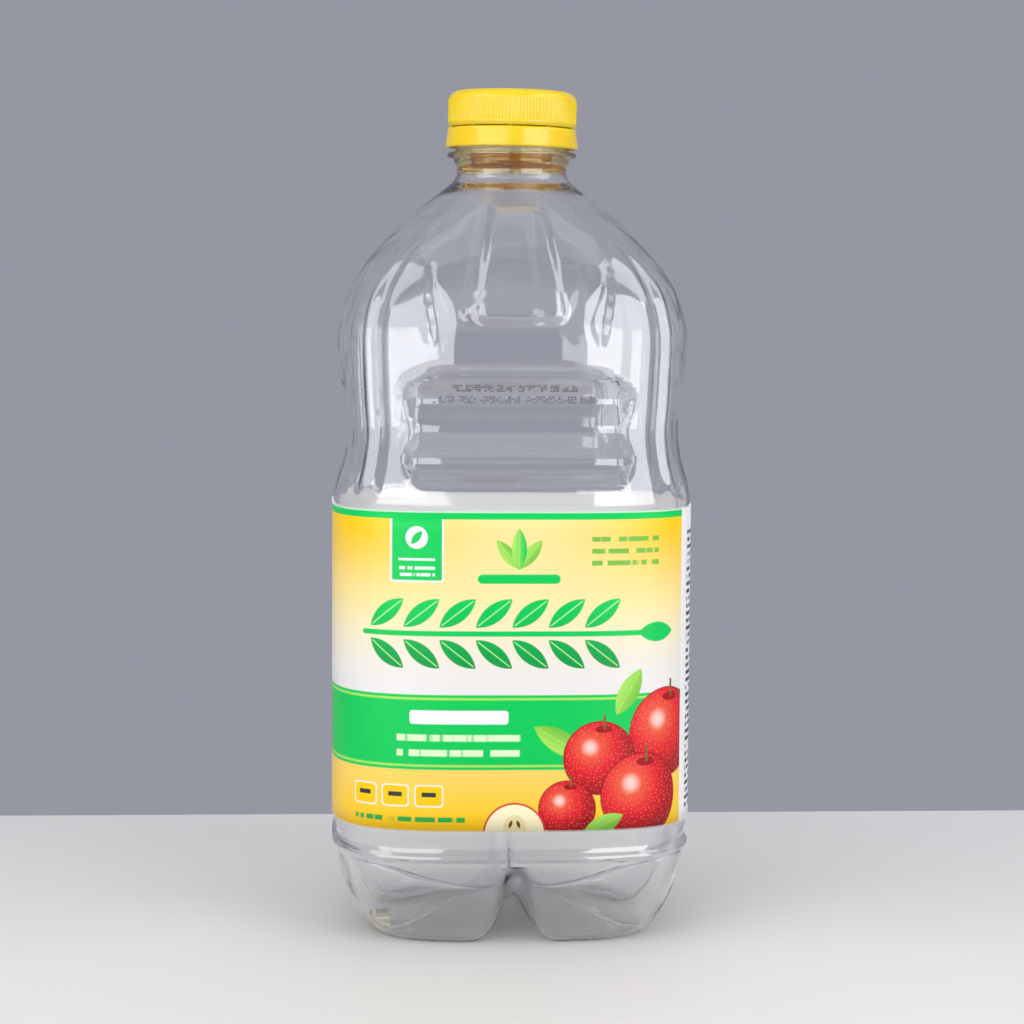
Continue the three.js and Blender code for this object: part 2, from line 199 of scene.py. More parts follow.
# the base, from 0 at its middle to 1 at the edge where it meets the body
def basePoint(angle, share):
    b = body
    rim = b["foot"][-1][0]
    edge = sectionRadius(angle, rim, rim * b["depthShare"][0][1], b["squareness"][0][1])
    turn = np.mod(angle / degree + 90, 90)
    foot = along(b["footShare"], np.minimum(turn, 90 - turn))
    steps = len(b["foot"]) - 1
    at = lambda outline, axis: along([(i / steps, p[axis]) for i, p in enumerate(outline)], share)
    mix = lambda axis: at(b["valley"], axis) * (1 - foot) + at(b["foot"], axis) * foot
    r = mix(0) / rim * edge
    near = np.clip(1 - np.abs(fromFront(angle) - b["creaseLine"]) / b["creaseHalf"], 0, 1)
    groove = near * smoothStep(*b["creaseStart"], share) * (1 - smoothStep(*b["creaseEnd"], share))
    return np.stack([r * np.cos(angle), r * np.sin(angle), mix(1) + b["creaseDepth"] * groove], -1)


def wallAt(height):
    b = body
    more = b["neckRadius"] - b["bore"] - b["wall"]
    return b["wall"] + more * smoothStep(b["thickFrom"], b["neckFoot"], height)


def baseWallAt(share):
    b = body
    return b["baseWall"] + (b["wall"] - b["baseWall"]) * smoothStep(b["baseThickTo"], 1, share)


def baseInset(angle, share, inset):
    # clear of the middle and the rim, where the base has no direction of its own
    clear = np.clip(share, 0.02, 0.999)
    return basePoint(angle, share) - outward(basePoint, angle, clear, shareStep) * inset


def bodyInset(angle, height, inset):
    return bodyPoint(angle, height) - outward(bodyPoint, angle, height, upStep) * inset


def ringOf(angle, radius, height):
    return np.stack([radius * np.cos(angle), radius * np.sin(angle), height + 0 * angle], -1)


# points that are nearer than this, in metres, are one
weld = 2e-6


# from edit mode back to object mode, with doubled points joined and the faces turned outwards
def closeUp():
    bpy.ops.mesh.select_all(action="SELECT")
    bpy.ops.mesh.remove_doubles(threshold=weld)
    bpy.ops.mesh.normals_make_consistent(inside=False)
    bpy.ops.object.mode_set(mode="OBJECT")


# a grid primitive whose rows take the places in rows, joined round its seam and shut at poles
def skinFrom(name, rows, uv=None):
    places = np.array(rows) * mm
    high, wide = places.shape[0] - 1, places.shape[1] - 1
    bpy.ops.object.select_all(action="DESELECT")
    bpy.ops.mesh.primitive_grid_add(x_subdivisions=wide, y_subdivisions=high, size=2, calc_uvs=True)
    piece = bpy.context.object
    piece.name = piece.data.name = name
    co = np.empty(len(piece.data.vertices) * 3)
    piece.data.vertices.foreach_get("co", co)
    co = co.reshape(-1, 3)
    i = np.rint((co[:, 0] + 1) / 2 * wide).astype(int)
    j = np.rint((co[:, 1] + 1) / 2 * high).astype(int)
    if uv is not None:
        loopVertex = np.empty(len(piece.data.loops), np.int32)
        piece.data.loops.foreach_get("vertex_index", loopVertex)
        piece.data.uv_layers[0].data.foreach_set("uv", uv[j[loopVertex], i[loopVertex]].ravel())
    piece.data.vertices.foreach_set("co", places[j, i].ravel())
    bpy.ops.object.mode_set(mode="EDIT")
    closeUp()
    bpy.ops.object.shade_smooth()
    return piece


def roundTheClock(count):
    return (-90 + np.arange(count + 1) * 360 / count) * degree


def apply(piece, kind, **settings):
    bpy.ops.object.select_all(action="DESELECT")
    piece.select_set(True)
    bpy.context.view_layer.objects.active = piece
    made = piece.modifiers.new(kind.lower(), kind)
    for key, value in settings.items():
        setattr(made, key, value)
    bpy.ops.object.modifier_apply(modifier=made.name)


# a profile of (radius, height) in mm spun round the axis
def spinFrom(name, profile, steps, closed=False):
    bpy.ops.object.select_all(action="DESELECT")
    bpy.ops.mesh.primitive_circle_add(vertices=len(profile), radius=1)
    piece = bpy.context.object
    piece.name = piece.data.name = name
    for vertex, (r, z) in zip(piece.data.vertices, profile):
        vertex.co = (r * mm, 0, z * mm)
    bpy.ops.object.mode_set(mode="EDIT")
    if not closed:
        edit = bmesh.from_edit_mesh(piece.data)
        ends = {0, len(profile) - 1}
        last = [e for e in edit.edges if {v.index for v in e.verts} == ends]
        bmesh.ops.delete(edit, geom=last, context="EDGES")
        bmesh.update_edit_mesh(piece.data)
    bpy.ops.mesh.select_all(action="SELECT")
    bpy.ops.mesh.spin(steps=steps, angle=2 * math.pi, center=(0, 0, 0), axis=(0, 0, 1))
    closeUp()
    bpy.ops.object.shade_smooth()
    return piece


# columns that fall on the edges of the hollows at the corners
def bottleColumns():
    parts = [np.linspace(low, high, count, endpoint=False) for low, high, count in body["quarter"]]
    quarter = np.concatenate(parts)
    half = np.concatenate([quarter, [90], 180 - quarter[:0:-1]])
    return (np.concatenate([half, half + 180, [360]]) - 90) * degree


def makeBottle():
    b = body
    angle = bottleColumns()
    shares = np.linspace(0, 1, b["baseRows"] + 1)
    heights = np.concatenate([b["beadRows"], b["panelRows"], np.arange(*b["upperRows"])])
    ring = lambda r, z: ringOf(angle, r, z)
    outside = [basePoint(angle, s + 0 * angle) for s in shares]
    outside += [bodyPoint(angle, z + 0 * angle) for z in heights]
    outside += [ring(b["neckRadius"], b["neckFoot"] + b["neckStart"])]
    outside += [ring(r, z) for r, z in b["neck"]]
    inside = [ring(b["bore"], b["lip"]), ring(b["bore"], b["neckFoot"] + b["boreFoot"])]
    inside += [bodyInset(angle, z + 0 * angle, wallAt(z)) for z in heights[::-1]]
    inside += [baseInset(angle, s + 0 * angle, baseWallAt(s)) for s in shares[::-1]]
    inside[-1] = inside[-1].mean(0) + 0 * inside[-1]
    return skinFrom("bottle_shell", outside + inside)


print("bottle")
bottle = makeBottle()
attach(bottle, "root")
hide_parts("bottle")

# the label, a thin sleeve: u is the way round and v the way up
label = {"gap": 0.28, "far": 0.54, "columns": 320, "rows": 16, "depthPull": 1.2}


def makeLabel():
    angle = roundTheClock(label["columns"])
    middle = (body["labelBottom"] + body["labelTop"]) / 2 + 0 * angle
    panel = plainPoint(angle, middle)
    n = outward(plainPoint, angle, middle, upStep)
    far = panel + n * label["far"]
    arc = np.concatenate([[0], np.cumsum(np.linalg.norm(np.diff(far, axis=0), axis=1))])
    heights = np.linspace(body["labelBottom"], body["labelTop"], label["rows"] + 1)
    place = lambda off, z: np.stack([(panel + n * off)[:, 0], (panel + n * off)[:, 1], z + 0 * angle], -1)
    rows = [place(label["far"], z) for z in heights]
    rows += [place(label["gap"], z) for z in heights[::-1]]
    rows.append(rows[0])
    u = arc / arc[-1]
    v = [(z - heights[0]) / (heights[-1] - heights[0]) for z in [*heights, *heights[::-1], heights[0]]]
    uv = np.array([[(a, b) for a in u] for b in v])
    return skinFrom("label_sleeve", rows, uv), arc[-1]


print("label")
sleeve, around = makeLabel()
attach(sleeve, "root")
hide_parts("label")
print("label is", round(around, 1), "mm round")

# the cap and the loose ring under it
closure = {
    "radius": 20.2, "top": 262.4, "skirt": 251.2, "ringTop": 250.8, "ringFoot": 244.6, "tilt": 0.8,
    # the ribs of the cap's side, from so far over its skirt to so far under its top
    "knurls": 120, "knurlSteps": 4, "knurlDepth": 0.42, "knurlPower": 1.5, "knurlFoot": 1.5,
    "knurlHead": 3.1,
    # the stubs of the bridges that broke when the bottle was opened
    "ringSteps": 192, "bridges": 10, "bridgeStart": 0.35, "bridgeRadius": 19.85, "bridgeUp": 0.1,
    "bridgeSize": (0.5, 1.1, 0.36),
}


# the pieces of the closure sit a little lower on the right
def tilted(piece):
    foot = Vector((0, 0, closure["ringFoot"] * mm))
    turn = Matrix.Rotation(closure["tilt"] * degree, 4, "Y")
    piece.data.transform(Matrix.Translation(foot) @ turn @ Matrix.Translation(-foot))
    return piece


def makeCap():
    c = closure
    r, top, skirt = c["radius"], c["top"], c["skirt"]
    profile = [
        (0, top - 1.4), (r - 2.6, top - 1.4), (r - 1.9, top - 1.8), (r - 1.6, top - 2.4), (r - 1.5, skirt),
        (r - 0.5, skirt), (r - 0.3, skirt + 0.15), (r - 0.25, skirt + 0.9), (r - 0.02, skirt + 1.3),
        (r, skirt + 1.6), (r, top - 3.2), (r - 0.08, top - 2.6), (r - 0.3, top - 1.9),
        (r - 0.7, top - 1.25), (r - 1.3, top - 0.65), (r - 2.1, top - 0.22), (r - 3.1, top),
        (r - 3.7, top), (r - 4.1, top - 0.12), (r - 4.8, top - 0.12), (0, top - 0.12)]
    piece = spinFrom("screw_cap", profile, c["knurls"] * c["knurlSteps"])
    for vertex in piece.data.vertices:
        x, y, z = vertex.co / mm
        reach = math.hypot(x, y)
        onSide = reach > r - 1
        if skirt + c["knurlFoot"] < z < top - c["knurlHead"] and onSide:
            turn = math.atan2(y, x) / (2 * math.pi) * c["knurls"]
            groove = (0.5 + 0.5 * math.cos(2 * math.pi * turn)) ** c["knurlPower"]
            cut = 1 - c["knurlDepth"] / r * groove
            vertex.co.x *= cut
            vertex.co.y *= cut
    bpy.ops.object.mode_set(mode="EDIT")
    closeUp()
    return piece


# the first points of the profile are a lip that stands up inside the cap and backs the gap under it
def makeRing():
    c = closure
    top, foot = c["ringTop"], c["ringFoot"]
    profile = [
        (18.5, top - 0.1), (18.5, top + 1.0), (18.2, top + 1.0), (18.2, foot + 1.6), (19.4, foot + 0.1),
        (19.6, foot), (20.5, foot), (20.75, foot + 0.2), (20.8, foot + 0.6), (20.7, foot + 1.5),
        (20.4, foot + 3.4), (20.25, top - 1.2), (20.2, top - 0.3), (20.05, top - 0.05), (19.6, top),
        (19.1, top)]
    piece = spinFrom("loose_ring", profile, c["ringSteps"], closed=True)
    for k in range(c["bridges"]):
        bpy.ops.object.select_all(action="DESELECT")
        turn = (k + c["bridgeStart"]) / c["bridges"] * 2 * math.pi
        out = c["bridgeRadius"] * mm
        place = (out * math.cos(turn), out * math.sin(turn), (top + c["bridgeUp"]) * mm)
        bpy.ops.mesh.primitive_cube_add(size=1, location=place, rotation=(0, 0, turn))
        stub = bpy.context.object
        stub.scale = [side * mm for side in c["bridgeSize"]]
        bpy.ops.object.transform_apply(location=True, rotation=True, scale=True)
        piece.select_set(True)
        bpy.context.view_layer.objects.active = piece
        bpy.ops.object.join()
    return piece


print("closure")
cap = tilted(makeCap())
looseRing = tilted(makeRing())
for piece, node in ((cap, "cap"), (looseRing, "tamper_band")):
    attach(piece, "root")
    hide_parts(node)

# the drop of drink left in one foot, reaching just into its wall
drop = {
    "level": 3.8, "into": 0.15, "columns": 240, "shares": (0.04, 1, 40),
    # upright planes that cut it, each a point and the side that goes
    "cuts": [((0, -7.5), (0, 1)), ((0, -22.5), (0, -1)), ((-38.0, 0), (1, 0))],
}


def makeDrop():
    angle = roundTheClock(drop["columns"])
    shares = np.linspace(*drop["shares"])
    rows = [baseInset(angle, s + 0 * angle, baseWallAt(s) - drop["into"]) for s in shares]
    rows = [rows[0].mean(0) + 0 * rows[0]] + rows
    piece = skinFrom("drop_of_drink", rows)
    bpy.ops.object.mode_set(mode="EDIT")
    cuts = [((0, 0, drop["level"] * mm), (0, 0, 1))]
    cuts += [((x * mm, y * mm, 0), (nx, ny, 0)) for (x, y), (nx, ny) in drop["cuts"]]
    for place, direction in cuts:
        bpy.ops.mesh.select_all(action="SELECT")
        bpy.ops.mesh.bisect(plane_co=place, plane_no=direction, use_fill=True, clear_outer=True)
    closeUp()
    return piece


print("drop")
residue = makeDrop()
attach(residue, "root")
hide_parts("juice_residue")


# two rows of small printed dashes on the front, at the top of the grip
marks = {
    "rows": [(170.4, 1.7), (166.8, 1.7)], "from": -25.5, "to": 23.0, "pitch": 0.95, "dash": (0.8, 0.36),
    "thick": 0.06, "seed": 5, "lines": 4, "upperIndent": 6, "upperShort": 5,
    # the share of the dashes that is there, in a word and in the gaps between words
    "kept": 0.72, "keptInGap": 0.35, "wordTurn": 1.9, "wordShift": 2, "gapUnder": -0.35,
    # the angles that they stand between, and how many are tried
    "sweep": (-125, -55, 400),
}


def makeMarks():
    m = marks
    draw = np.random.default_rng(m["seed"])
    angle = np.linspace(*m["sweep"]) * degree
    bpy.ops.object.select_all(action="DESELECT")
    dashes = []
    for row, (middle, tall) in enumerate(m["rows"]):
        first = m["from"] + m["upperIndent"] * (1 - row)
        last = m["to"] - m["upperShort"] * (1 - row)
        for x in np.arange(first, last, m["pitch"]):
            inWord = math.sin(x * m["wordTurn"] + row * m["wordShift"]) > m["gapUnder"]
            for z in np.linspace(middle - tall / 2, middle + tall / 2, m["lines"]):
                if draw.random() > m["kept"] * (1 if inWord else m["keptInGap"]):
                    continue
                line = bodyPoint(angle, z + 0 * angle)
                turn = np.interp(x, line[:, 0], angle)
                place = bodyPoint(np.array([turn]), np.array([z]))[0]
                out = Vector(outward(bodyPoint, np.array([turn]), np.array([z]), upStep)[0])
                spot = Vector(place) + out * m["thick"] / 2
                facing = out.to_track_quat("Y", "Z").to_euler()
                bpy.ops.mesh.primitive_cube_add(size=1, location=spot * mm, rotation=facing)
                dash = bpy.context.object
                dash.scale = (m["dash"][0] * mm, m["thick"] * mm, m["dash"][1] * mm)
                dashes.append(dash)
    for dash in dashes:
        dash.select_set(True)
    bpy.context.view_layer.objects.active = dashes[0]
    bpy.ops.object.join()
    bpy.ops.object.transform_apply(location=True, rotation=True, scale=True)
    dashes[0].name = dashes[0].data.name = "printed_marks"
    return dashes[0]


print("marks")
inkMarks = makeMarks()
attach(inkMarks, "root")


# shader maths: a wire is a node's output, and an operator on it adds a node
class Wire:
    def __init__(self, graph, socket):
        self.graph, self.socket = graph, socket

    # another output of the same node
    def output(self, index):
        return Wire(self.graph, self.socket.node.outputs[index])

    def math(self, operation, *others, clamp=False):
        return self.graph.add("Math", {"operation": operation, "use_clamp": clamp}, (self, *others))

    def __add__(self, other):
        return self.math("ADD", other)

    def __sub__(self, other):
        return self.math("SUBTRACT", other)

    def __rsub__(self, other):
        return self.graph.add("Math", {"operation": "SUBTRACT"}, (other, self))

    def __mul__(self, other):
        return self.math("MULTIPLY", other)

    def __truediv__(self, other):
        return self.math("DIVIDE", other)

    def __abs__(self):
        return self.math("ABSOLUTE")

    __radd__, __rmul__ = __add__, __mul__


class Graph:
    def __init__(self, name):
        self.material = bpy.data.materials.new(name)
        self.material.use_nodes = True
        self.tree = self.material.node_tree
        self.tree.nodes.clear()

    # a node of this type, with its settings, then the values or wires of its sockets
    def add(self, kind, settings, sockets, output=0):
        node = self.tree.nodes.new("ShaderNode" + kind)
        for key, value in settings.items():
            setattr(node, key, value)
        pairs = sockets.items() if isinstance(sockets, dict) else enumerate(sockets)
        for key, value in pairs:
            if isinstance(value, Wire):
                self.tree.links.new(value.socket, node.inputs[key])
            elif value is not None:
                node.inputs[key].default_value = value
        return Wire(self, node.outputs[output])

    def mixColour(self, share, low, high):
        low, high = (c if isinstance(c, Wire) else (*c, 1) for c in (low, high))
        return self.add("Mix", {"data_type": "RGBA"}, {0: share, 6: low, 7: high}, 2)

    def objectNoise(self, scale, detail, stretch=None):
        place = self.add("TexCoord", {}, {}, "Object")
        if stretch:
            place = self.add("Mapping", {}, {0: place, "Scale": stretch})
        return self.add("TexNoise", {}, {"Vector": place, "Scale": scale, "Detail": detail})

    def bump(self, height, strength, distance):
        return self.add("Bump", {}, {"Strength": strength, "Distance": distance, "Height": height})

    def finish(self, shader):
        out = self.tree.nodes.new("ShaderNodeOutputMaterial")
        self.tree.links.new(shader.socket, out.inputs["Surface"])
        return self.material


# clear material that lets the lamps' light through to what is behind it
def clearMaterial(name, look):
    g = Graph(name)
    wave = g.objectNoise(look["waveScale"], detail=2.0)
    scuff = g.objectNoise(look["scuffScale"], detail=4.0, stretch=look["scuffStretch"])
    rough = g.add("MapRange", {}, {"Value": scuff, "From Min": 0.5, "From Max": 0.8,
                                   "To Min": look["rough"], "To Max": look["roughMost"]})
    colour = (*look["colour"], 1)
    # painted glow: the neck band takes an amber tint that stands in for the cap's light in its wall
    if "neck" in look:
        place = g.add("SeparateXYZ", {}, (g.add("TexCoord", {}, {}, "Object"),), 2)
        low, high = look["neck"]
        share = g.add("MapRange", {"interpolation_type": "SMOOTHSTEP"}, {
            "Value": place, "From Min": low * mm, "From Max": high * mm, "To Min": 0.0, "To Max": 1.0})
        colour = g.mixColour(share, look["colour"], look["neckPaintedGlow"])
    glass = g.add("BsdfPrincipled", {}, {
        "Base Color": colour, "Roughness": rough, "IOR": look["ior"],
        "Transmission Weight": 1.0, "Normal": g.bump(wave, look["waveStrength"], look["waveHeight"])})
    shadowRay = g.add("LightPath", {}, {}, "Is Shadow Ray")
    through = g.add("BsdfTransparent", {}, {"Color": (*look["shade"], 1)})
    return g.finish(g.add("MixShader", {}, {0: shadowRay, 1: glass, 2: through}))


# the neck is tinted amber with a painted glow of the yellow cap above it, not a colour of the clear plastic
plasticLook = {
    "colour": (0.992, 0.994, 0.995), "neck": (236.0, 239.5), "neckPaintedGlow": (0.98, 0.86, 0.45), "ior": 1.57,
    "rough": 0.035, "roughMost": 0.12, "shade": (0.97, 0.97, 0.975), "waveScale": 42.0, "waveStrength": 0.5,
    "waveHeight": 0.0009, "scuffScale": 90.0, "scuffStretch": (1, 1, 0.35),
}
drinkLook = {
    "colour": (0.96, 0.945, 0.78), "ior": 1.34, "rough": 0.02, "roughMost": 0.05, "shade": (0.9, 0.86, 0.5),
    "waveScale": 40.0, "waveStrength": 0.1, "waveHeight": 0.0004, "scuffScale": 60.0,
    "scuffStretch": (1, 1, 1),
}


def yellowMaterial():
    g = Graph("yellowMouldedPlastic")
    tone = g.objectNoise(scale=45.0, detail=3.0)
    grain = g.objectNoise(scale=1400.0, detail=2.0)
    colour = g.mixColour(tone, (0.87, 0.50, 0.004), (0.91, 0.55, 0.010))
    rough = g.add("MapRange", {}, {"Value": tone, "To Min": 0.20, "To Max": 0.28})
    return g.finish(g.add("BsdfPrincipled", {}, {
        "Base Color": colour, "Roughness": rough, "IOR": 1.5, "Subsurface Weight": 0.8,
        "Subsurface Radius": (0.006, 0.0042, 0.0006), "Subsurface Scale": 1.0,
        "Normal": g.bump(grain, strength=0.08, distance=0.0001)}))


# how the bars in place of small lettering are broken into words
lettering = {"across": 0.9, "rowShift": 7.3, "scale": 0.55, "detail": 1.0, "gapUnder": 0.36, "sharp": 14.0}


# shapes of the label's print, in mm across from the middle of the front and up from the floor: each takes
# its middle, then half its width and height, and gives a mask from 0 to 1
class Print:
    def __init__(self, graph, x, z):
        self.graph, self.x, self.z = graph, x, z

    # 1 inside a shape and 0 outside, with a soft edge
    def cover(self, distance, soft=0.22):
        return (0.5 - distance / soft).math("ADD", 0.0, clamp=True)

    # places measured from a middle, along and across a direction
    def turned(self, cx, cz, turn):
        dx, dz = self.x - cx, self.z - cz
        c, s = math.cos(turn * degree), math.sin(turn * degree)
        return dx * c + dz * s, dz * c - dx * s

    def bar(self, cx, cz, halfWide, halfHigh, radius=0.01):
        dx = abs(self.x - cx) - (halfWide - radius)
        dz = abs(self.z - cz) - (halfHigh - radius)
        ox, oz = dx.math("MAXIMUM", 0.0), dz.math("MAXIMUM", 0.0)
        inner = dx.math("MAXIMUM", dz).math("MINIMUM", 0.0)
        return self.cover((ox * ox + oz * oz).math("SQRT") + inner - radius)

    def disc(self, cx, cz, wide, high=None):
        dx, dz = self.x - cx, self.z - cz
        reach = (dx * dx + dz * dz * (wide / (high or wide)) ** 2).math("SQRT")
        return self.cover(reach - wide)

    # a leaf along its own x, as the overlap of two circles
    def leafOf(self, a, b, half, wide):
        r = (half * half + wide * wide) / (2 * wide)
        up = abs(b) + (r - wide)
        return self.cover((a * a + up * up).math("SQRT") - r)

    def leaf(self, cx, cz, half, wide, turn):
        a, b = self.turned(cx, cz, turn)
        return self.leafOf(a, b, half, wide)

    # lines of short bars in place of small lettering
    def lines(self, cx, cz, halfWide, halfHigh, pitch, thick, seed):
        t = lettering
        row = ((self.z - (cz - halfHigh)) / pitch).math("FLOOR")
        inRow = (self.z - (cz - halfHigh)) - (row + 0.5) * pitch
        place = self.graph.add("CombineXYZ", {}, (
            self.x * (t["across"] / thick), row * t["rowShift"] + seed, 0.0))
        word = self.graph.add("TexNoise", {"noise_dimensions": "2D"}, {
            "Vector": place, "Scale": t["scale"], "Detail": t["detail"]})
        words = (word - t["gapUnder"]).math("MULTIPLY", t["sharp"], clamp=True)
        return self.cover(abs(inRow) - thick / 2) * words * self.bar(cx, cz, halfWide, halfHigh)


def labelMaterial():
    g = Graph("printedFilm")
    u = g.add("SeparateXYZ", {}, (g.add("UVMap", {"uv_map": "UVMap"}, {}),))
    v = u.output(1)
    high = body["labelTop"] - body["labelBottom"]
    z = v * high + body["labelBottom"]
    # the way round from the middle of the front, and the same again from the middle of the back
    whole = (u * around + around / 2).math("MODULO", around) - around / 2
    x = (u * around + around / 4).math("MODULO", around / 2) - around / 4
    p = Print(g, x, z)
    green, deepGreen, lime = (0.001, 0.50, 0.085), (0.004, 0.26, 0.05), (0.33, 0.66, 0.10)
    gold, cream, white = (0.84, 0.51, 0.004), (0.80, 0.69, 0.36), (0.78, 0.77, 0.76)
    red, deepRed, blush = (0.66, 0.012, 0.024), (0.30, 0.004, 0.010), (0.86, 0.30, 0.10)
    leafGreen, flesh, ink = (0.17, 0.46, 0.05), (0.86, 0.78, 0.50), (0.03, 0.035, 0.04)
    shine, bark, pip = (0.92, 0.66, 0.60), (0.20, 0.10, 0.02), (0.14, 0.05, 0.01)

    def smooth(value, low, highEnd):
        return g.add("MapRange", {"interpolation_type": "SMOOTHSTEP"},
                     {"Value": value, "From Min": low, "From Max": highEnd, "To Min": 0.0, "To Max": 1.0})

    side = smooth(abs(x), 5.0, 50.0)
    topGold = smooth(z, 96.0, 131.0) * (0.3 + side * 0.7)
    colour = g.mixColour(smooth(z, 80.0, 108.0), (0.70, 0.68, 0.66), cream)
    colour = g.mixColour(topGold, colour, gold)
    colour = g.mixColour(smooth(56.0 - z, -1.0, 1.0), colour, gold)
    colour = g.mixColour(smooth(z, 36.0, 60.0) * smooth(58.0 - z, 0.0, 4.0) * 0.35, colour, cream)

    layers = []

    def paint(mask, tint):
        layers.append((mask, tint))

    # a leaf with a pale rib along it
    def ribbed(cx, cz, half, wide, turn, tint, rib):
        a, b = p.turned(cx, cz, turn)
        paint(p.leafOf(a, b, half, wide), g.mixColour(smooth(b, -wide, wide), tint, rib))
        paint(p.cover(abs(b) - 0.16) * p.leafOf(a, b, half * 0.86, wide), rib)

    # a sprig of leaves across the cream field
    stepX = ((x + 46.0) / 11.0).math("FRACT") * 11.0 - 5.5
    tall = abs(z - 97.0) - 6.2
    lean = 38 * degree
    a = stepX * math.cos(lean) + tall * math.sin(lean)
    b = tall * math.cos(lean) - stepX * math.sin(lean)
    within = p.bar(-7.5, 97.0, 38.5, 14.0)
    sprig = g.mixColour(smooth(z, 84.0, 108.0), deepGreen, green)
    paint(p.leafOf(a, b, 7.0, 2.7) * within, sprig)
    paint(p.cover(abs(b) - 0.14) * p.leafOf(a, b, 6.2, 2.0) * within, (0.45, 0.80, 0.30))
    paint(p.bar(-4.0, 97.0, 45.0, 0.8, 0.8), green)
    paint(p.leaf(43.5, 97.0, 6.5, 3.0, 0), green)
    # the band and its pale edges
    paint(p.bar(0.0, 67.0, 200.0, 11.4), green)
    paint(p.bar(0.0, 77.2, 200.0, 0.35), lime)
    paint(p.bar(0.0, 56.8, 200.0, 0.35), lime)
    paint(p.bar(-18.0, 71.6, 15.0, 2.1, 1.0), white)
    paint(p.lines(-18.0, 63.0, 19.0, 4.6, 4.6, 2.0, 1.7), (0.62, 0.80, 0.50))
    # the top stripe and the tab that hangs from it
    paint(p.bar(-31.0, 124.0, 8.3, 11.5, 0.6), white)
    paint(p.bar(-31.0, 124.3, 7.7, 11.2, 0.4), green)
    paint(p.disc(-31.0, 126.0, 3.4), white)
    paint(p.leaf(-31.0, 126.0, 2.6, 1.1, 50), green)
    paint(p.bar(-31.0, 119.4, 5.6, 0.35), white)
    paint(p.lines(-31.0, 115.8, 5.6, 2.0, 2.0, 0.9, 5.1), white)
    paint(p.bar(0.0, 132.9, 200.0, 1.35), green)
    # three leaves fanned in the middle of the top
    ribbed(-3.4, 121.0, 5.6, 2.0, 128, leafGreen, lime)
    ribbed(3.4, 121.0, 5.6, 2.0, 52, leafGreen, lime)
    ribbed(0.0, 122.6, 6.4, 2.3, 90, green, lime)
    paint(p.bar(0.0, 113.6, 12.5, 1.4, 1.4), green)
    paint(p.lines(33.0, 122.0, 11.0, 5.4, 3.6, 1.5, 9.4), (0.16, 0.42, 0.05))
    # round flecked fruit at the right, on leaves
    speckle = g.add("TexVoronoi", {"voronoi_dimensions": "2D"}, {
        "Vector": g.add("CombineXYZ", {}, (x, z, 0.0)), "Scale": 0.8})
    fleck = (0.20 - speckle).math("MULTIPLY", 9.0, clamp=True)
    ribbed(13.0, 64.0, 9.5, 3.5, 150, leafGreen, lime)
    ribbed(34.0, 79.0, 8.0, 3.2, 60, leafGreen, lime)

    # a dark rim, a skin with a blush and a shine that is up and to the left, a dent and a stalk
    def roundFruit(cx, cz, r):
        nearX, nearZ = p.x - (cx - r * 0.28), p.z - (cz + r * 0.30)
        reach = (nearX * nearX + nearZ * nearZ).math("SQRT")
        skinTone = g.mixColour(smooth(reach, r * 0.55, r * 1.3), red, deepRed)
        skinTone = g.mixColour(smooth(r * 0.75 - reach, 0.0, r * 0.7) * 0.35, skinTone, blush)
        skinTone = g.mixColour(fleck * 0.45, skinTone, blush)
        skinTone = g.mixColour(smooth(r * 0.30 - reach, 0.0, r * 0.26) * 0.8, skinTone, shine)
        paint(p.disc(cx, cz, r + 0.35), deepRed)
        paint(p.disc(cx, cz, r), skinTone)
        paint(p.disc(cx + r * 0.10, cz + r * 0.80, r * 0.24, r * 0.10), deepRed)
        paint(p.bar(cx + r * 0.12, cz + r * 1.0, r * 0.035, r * 0.20, 0.1), bark)

    for place in ((48.0, 66.0, 13.5), (25.0, 59.0, 11.0), (38.5, 47.0, 13.0), (15.0, 43.5, 8.5)):
        roundFruit(*place)
    # a cut half with its core and two pips
    paint(p.disc(-1.0, 36.0, 9.6), (0.60, 0.05, 0.03))
    paint(p.disc(-1.0, 36.0, 9.0), flesh)
    paint(p.disc(-1.0, 37.6, 3.4, 4.4), (0.76, 0.66, 0.34))
    paint(p.leaf(-2.2, 39.0, 1.3, 0.5, 70), pip)
    paint(p.leaf(0.2, 39.0, 1.3, 0.5, 110), pip)
    ribbed(26.0, 38.5, 7.0, 2.8, 25, leafGreen, lime)
    # small badges and a line of marks along the foot
    for k in range(3):
        cx = -48.0 + k * 10.5
        paint(p.bar(cx, 47.5, 4.4, 3.4, 1.2), white)
        paint(p.bar(cx, 47.5, 4.0, 3.0, 1.0), gold)
        paint(p.bar(cx, 47.9, 2.2, 0.7, 0.3), ink)
    paint(p.lines(-34.0, 40.3, 18.0, 1.3, 2.6, 1.5, 3.3), (0.02, 0.36, 0.06))
    for mask, tint in layers:
        colour = g.mixColour(mask, colour, tint)
    # a white panel of small print on the right side
    q = Print(g, whole, z)
    panel = q.bar(around / 4, 84.0, 36.0, 60.0)
    colour = g.mixColour(panel, colour, white)
    colour = g.mixColour(q.lines(around / 4 - 22.0, 84.0, 9.0, 44.0, 2.3, 1.2, 2.2), colour, ink)
    colour = g.mixColour(q.lines(around / 4 + 14.0, 92.0, 17.0, 34.0, 3.1, 1.3, 6.2), colour, ink)
    edge = smooth(abs(v - 0.5), 0.494, 0.4965)
    colour = g.mixColour(edge * 0.6, colour, white)

    ripple = g.objectNoise(scale=34.0, detail=2.0, stretch=(1, 1, 0.4))
    rough = g.add("MapRange", {}, {"Value": ripple, "To Min": 0.24, "To Max": 0.36})
    return g.finish(g.add("BsdfPrincipled", {}, {
        "Base Color": colour, "Roughness": rough, "Specular IOR Level": 0.15,
        "Normal": g.bump(ripple, strength=0.18, distance=0.0006)}))
